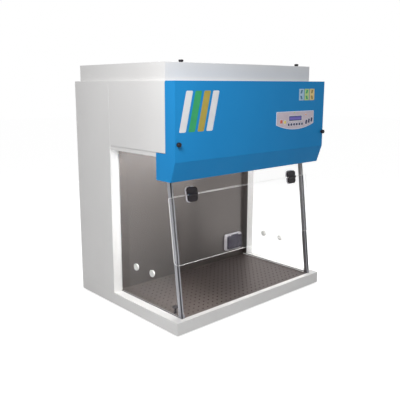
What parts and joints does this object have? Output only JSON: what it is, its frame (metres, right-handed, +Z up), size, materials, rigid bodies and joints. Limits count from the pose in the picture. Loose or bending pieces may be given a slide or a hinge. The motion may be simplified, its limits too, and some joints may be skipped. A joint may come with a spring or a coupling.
{
  "type": "fume hood",
  "caption": "Bench-top recirculating fume hood with side glasses, hinged front flap, blue fascia, perforated worktop and exhaust box.",
  "frame": {"origin": "bottom centre of the bounding box, on the surface the feet stand on", "axes": "+Z up, the user stands at -Y, +X to the user's right"},
  "size_m": [1, 0.7868, 1.1713],
  "materials": {
    "white_paint": "smooth powder coat",
    "blue_paint": "smooth powder coat",
    "stainless": "brushed",
    "steel": "zinc plated",
    "post_aluminium": "satin anodised",
    "clear_glass": "clear tempered",
    "black_plastic": "moulded",
    "seal_rubber": "matte",
    "foot_rubber": "matte",
    "white_plastic": "moulded",
    "grey_plastic": "moulded",
    "smoke_plastic": "smoked clear",
    "panel_plastic": "printed overlay",
    "display_glass": "backlit",
    "red_key": "moulded",
    "yellow_key": "moulded",
    "dark_key": "moulded",
    "board": "laminate",
    "filter_media": "pleated fibre",
    "lamp_glass": "opal",
    "motor_iron": "painted"
  },
  "bodies": {
    "cabinet": {"back_wall": "stainless", "base_tray": "white_paint", "blower_housing": "steel", "blower_motor": "motor_iron", "ceiling_tray": "white_paint", "corner_posts": "post_aluminium", "exhaust_filter": "filter_media", "exhaust_grille": "white_paint", "fascia_hinge_fixed": "steel", "feet": "foot_rubber", "glass_seals": "seal_rubber", "head_casing": "white_paint", "hinge_pins": "black_plastic", "hinge_upper_leaves": "black_plastic", "hinge_upper_plates": "grey_plastic", "lamp_channel": "white_paint", "lamp_tube": "lamp_glass", "main_filter_frame": "post_aluminium", "main_filter_media": "filter_media", "power_inlet": "black_plastic", "rear_casing": "white_paint", "rear_cover": "white_paint", "side_glass_left": "clear_glass", "side_glass_right": "clear_glass", "socket_box": "grey_plastic", "socket_insert": "white_plastic", "sump_tray": "stainless", "top_box": "white_paint", "upper_glass": "clear_glass"},
    "flap": {"flap_glass": "clear_glass", "hinge_lower_leaves": "black_plastic", "hinge_lower_plates": "grey_plastic"},
    "fascia_door": {"fascia": "blue_paint", "control_plate": "panel_plastic", "display": "display_glass", "control_board": "board", "fascia_hinge_moving": "steel"},
    "worktop_panel": {"worktop": "stainless", "worktop_knob": "black_plastic"},
    "fan_wheel": {"impeller": "steel"},
    "lid": {"socket_lid": "smoke_plastic"},
    "left_fascia_knob": {"fascia_knob_left": "black_plastic"},
    "right_fascia_knob": {"fascia_knob_right": "black_plastic"},
    "left_top_knob": {"top_knob_left": "black_plastic"},
    "right_top_knob": {"top_knob_right": "black_plastic"},
    "key_red_cap": {"key_red": "red_key"},
    "key_yellow_cap": {"key_yellow": "yellow_key"},
    "key_round_1_cap": {"key_round_1": "dark_key"},
    "key_round_2_cap": {"key_round_2": "dark_key"},
    "key_round_3_cap": {"key_round_3": "dark_key"},
    "key_round_4_cap": {"key_round_4": "dark_key"},
    "key_round_5_cap": {"key_round_5": "dark_key"},
    "key_round_6_cap": {"key_round_6": "dark_key"},
    "key_slant_1_cap": {"key_slant_1": "dark_key"},
    "key_slant_2_cap": {"key_slant_2": "dark_key"},
    "key_slant_3_cap": {"key_slant_3": "dark_key"},
    "port_plug_left_front_body": {"port_plug_left_front": "white_plastic"},
    "port_plug_left_rear_body": {"port_plug_left_rear": "white_plastic"},
    "port_plug_right_front_body": {"port_plug_right_front": "white_plastic"},
    "port_plug_right_rear_body": {"port_plug_right_rear": "white_plastic"}
  },
  "joints": [
    {"name": "flap_hinge", "type": "hinge", "parent": "cabinet", "child": "flap", "pos_m": [0, -0.30816, 0.59922], "axis": [-1, 0, 0], "range_deg": [0, 125]},
    {"name": "fascia_hinge", "type": "hinge", "parent": "cabinet", "child": "fascia_door", "pos_m": [0, -0.313, 1.0815], "axis": [-1, 0, 0], "range_deg": [0, 70]},
    {"name": "worktop_lift", "type": "slide", "parent": "cabinet", "child": "worktop_panel", "axis": [0, 0, 1], "range_m": [0, 0.045]},
    {"name": "impeller_spin", "type": "hinge", "parent": "cabinet", "child": "fan_wheel", "pos_m": [0, 0.1224, 0.9727], "axis": [0, 1, 0], "continuous": true},
    {"name": "socket_lid_hinge", "type": "hinge", "parent": "cabinet", "child": "lid", "pos_m": [0.348, 0.1011, 0.2035], "axis": [-1, 0, 0], "range_deg": [0, 110]},
    {"name": "fascia_knob_left_turn", "type": "hinge", "parent": "fascia_door", "child": "left_fascia_knob", "pos_m": [-0.4865, -0.3754, 0.831], "axis": [0, 1, 0], "continuous": true},
    {"name": "top_knob_left_turn", "type": "hinge", "parent": "cabinet", "child": "left_top_knob", "pos_m": [-0.385, -0.2806, 1.1603], "axis": [0, 0, 1], "continuous": true},
    {"name": "fascia_knob_right_turn", "type": "hinge", "parent": "fascia_door", "child": "right_fascia_knob", "pos_m": [0.4865, -0.3754, 0.831], "axis": [0, 1, 0], "continuous": true},
    {"name": "top_knob_right_turn", "type": "hinge", "parent": "cabinet", "child": "right_top_knob", "pos_m": [0.385, -0.2806, 1.1603], "axis": [0, 0, 1], "continuous": true},
    {"name": "key_red_press", "type": "slide", "parent": "fascia_door", "child": "key_red_cap", "axis": [0, 1, 0], "range_m": [0, 0.001], "stiffness_N_per_m": 400, "springref_m": -0.001},
    {"name": "key_yellow_press", "type": "slide", "parent": "fascia_door", "child": "key_yellow_cap", "axis": [0, 1, 0], "range_m": [0, 0.001], "stiffness_N_per_m": 400, "springref_m": -0.001},
    {"name": "key_round_1_press", "type": "slide", "parent": "fascia_door", "child": "key_round_1_cap", "axis": [0, 1, 0], "range_m": [0, 0.001], "stiffness_N_per_m": 400, "springref_m": -0.001},
    {"name": "key_round_2_press", "type": "slide", "parent": "fascia_door", "child": "key_round_2_cap", "axis": [0, 1, 0], "range_m": [0, 0.001], "stiffness_N_per_m": 400, "springref_m": -0.001},
    {"name": "key_round_3_press", "type": "slide", "parent": "fascia_door", "child": "key_round_3_cap", "axis": [0, 1, 0], "range_m": [0, 0.001], "stiffness_N_per_m": 400, "springref_m": -0.001},
    {"name": "key_round_4_press", "type": "slide", "parent": "fascia_door", "child": "key_round_4_cap", "axis": [0, 1, 0], "range_m": [0, 0.001], "stiffness_N_per_m": 400, "springref_m": -0.001},
    {"name": "key_round_5_press", "type": "slide", "parent": "fascia_door", "child": "key_round_5_cap", "axis": [0, 1, 0], "range_m": [0, 0.001], "stiffness_N_per_m": 400, "springref_m": -0.001},
    {"name": "key_round_6_press", "type": "slide", "parent": "fascia_door", "child": "key_round_6_cap", "axis": [0, 1, 0], "range_m": [0, 0.001], "stiffness_N_per_m": 400, "springref_m": -0.001},
    {"name": "key_slant_1_press", "type": "slide", "parent": "fascia_door", "child": "key_slant_1_cap", "axis": [0, 1, 0], "range_m": [0, 0.001], "stiffness_N_per_m": 400, "springref_m": -0.001},
    {"name": "key_slant_2_press", "type": "slide", "parent": "fascia_door", "child": "key_slant_2_cap", "axis": [0, 1, 0], "range_m": [0, 0.001], "stiffness_N_per_m": 400, "springref_m": -0.001},
    {"name": "key_slant_3_press", "type": "slide", "parent": "fascia_door", "child": "key_slant_3_cap", "axis": [0, 1, 0], "range_m": [0, 0.001], "stiffness_N_per_m": 400, "springref_m": -0.001},
    {"name": "port_plug_left_front_pull", "type": "slide", "parent": "cabinet", "child": "port_plug_left_front_body", "axis": [-1, 0, 0], "range_m": [0, 0.03]},
    {"name": "port_plug_left_rear_pull", "type": "slide", "parent": "cabinet", "child": "port_plug_left_rear_body", "axis": [-1, 0, 0], "range_m": [0, 0.03]},
    {"name": "port_plug_right_front_pull", "type": "slide", "parent": "cabinet", "child": "port_plug_right_front_body", "axis": [1, 0, 0], "range_m": [0, 0.03]},
    {"name": "port_plug_right_rear_pull", "type": "slide", "parent": "cabinet", "child": "port_plug_right_rear_body", "axis": [1, 0, 0], "range_m": [0, 0.03]}
  ]
}
